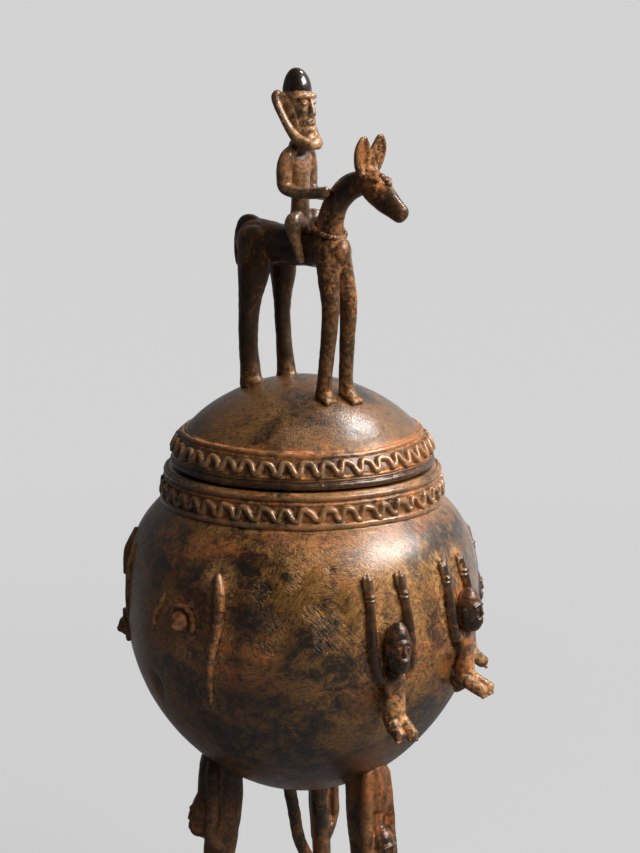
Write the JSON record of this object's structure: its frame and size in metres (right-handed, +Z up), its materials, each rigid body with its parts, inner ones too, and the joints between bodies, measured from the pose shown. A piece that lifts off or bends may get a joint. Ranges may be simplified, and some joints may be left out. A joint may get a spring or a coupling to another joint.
{
  "type": "storage box",
  "caption": "Cast bronze lidded storage box: a round bowl on figure legs, figures in relief, and a loose domed lid with a horse and rider as its handle",
  "frame": {"origin": "centre of the footprint on the floor, on the bowl's own axis", "axes": "+Z up, -Y towards the viewer of the picture (the front), +X to the right"},
  "size_m": [0.1897, 0.1886, 0.4743],
  "materials": {
    "brown_bronze": "worn brown cast bronze, rubbed bright on the swell of the belly and dome",
    "dark_bronze": "dark brown to black handled patina",
    "ochre_bronze": "bronze with ochre earth lodged round the raised work",
    "polished_bronze": "near-black polish on the most handled heads"
  },
  "bodies": {
    "bowl": {"bowl_shell": "brown_bronze", "bowl_shoulder": "brown_bronze", "collar_ridge": "brown_bronze", "collar_cord": "ochre_bronze", "collar_lip": "dark_bronze", "collar_wave": "ochre_bronze", "relief_figure_front_right": "ochre_bronze", "relief_figure_right": "ochre_bronze", "relief_figure_back_right": "ochre_bronze", "relief_figure_back": "ochre_bronze", "relief_figure_back_left": "ochre_bronze", "relief_figure_left": "ochre_bronze", "relief_figure_front_left": "ochre_bronze", "figure_leg_left": "dark_bronze", "figure_leg_right": "dark_bronze", "figure_leg_back": "dark_bronze", "back_brace": "dark_bronze"},
    "lid": {"lid_dome": "brown_bronze", "lid_ridge": "ochre_bronze", "lid_cord": "ochre_bronze", "lid_rim_bead": "dark_bronze", "lid_wave": "ochre_bronze", "horse_body": "dark_bronze", "horse_right_hind_leg": "dark_bronze", "horse_left_hind_leg": "dark_bronze", "horse_right_fore_leg": "dark_bronze", "horse_left_fore_leg": "dark_bronze", "horse_neck": "dark_bronze", "horse_head": "dark_bronze", "horse_right_ear": "ochre_bronze", "horse_left_ear": "ochre_bronze", "horse_bridle_knots": "ochre_bronze", "horse_tail": "dark_bronze", "horse_neck_ring": "ochre_bronze", "rider_torso": "brown_bronze", "rider_head": "polished_bronze", "rider_beard": "ochre_bronze", "rider_right_arm": "dark_bronze", "rider_left_arm": "dark_bronze", "rider_right_leg": "brown_bronze", "rider_left_leg": "brown_bronze"}
  },
  "joints": [
    {"name": "lid_lift", "type": "slide", "parent": "bowl", "child": "lid", "axis": [0, 0, 1], "range_m": [0, 0.12]}
  ]
}
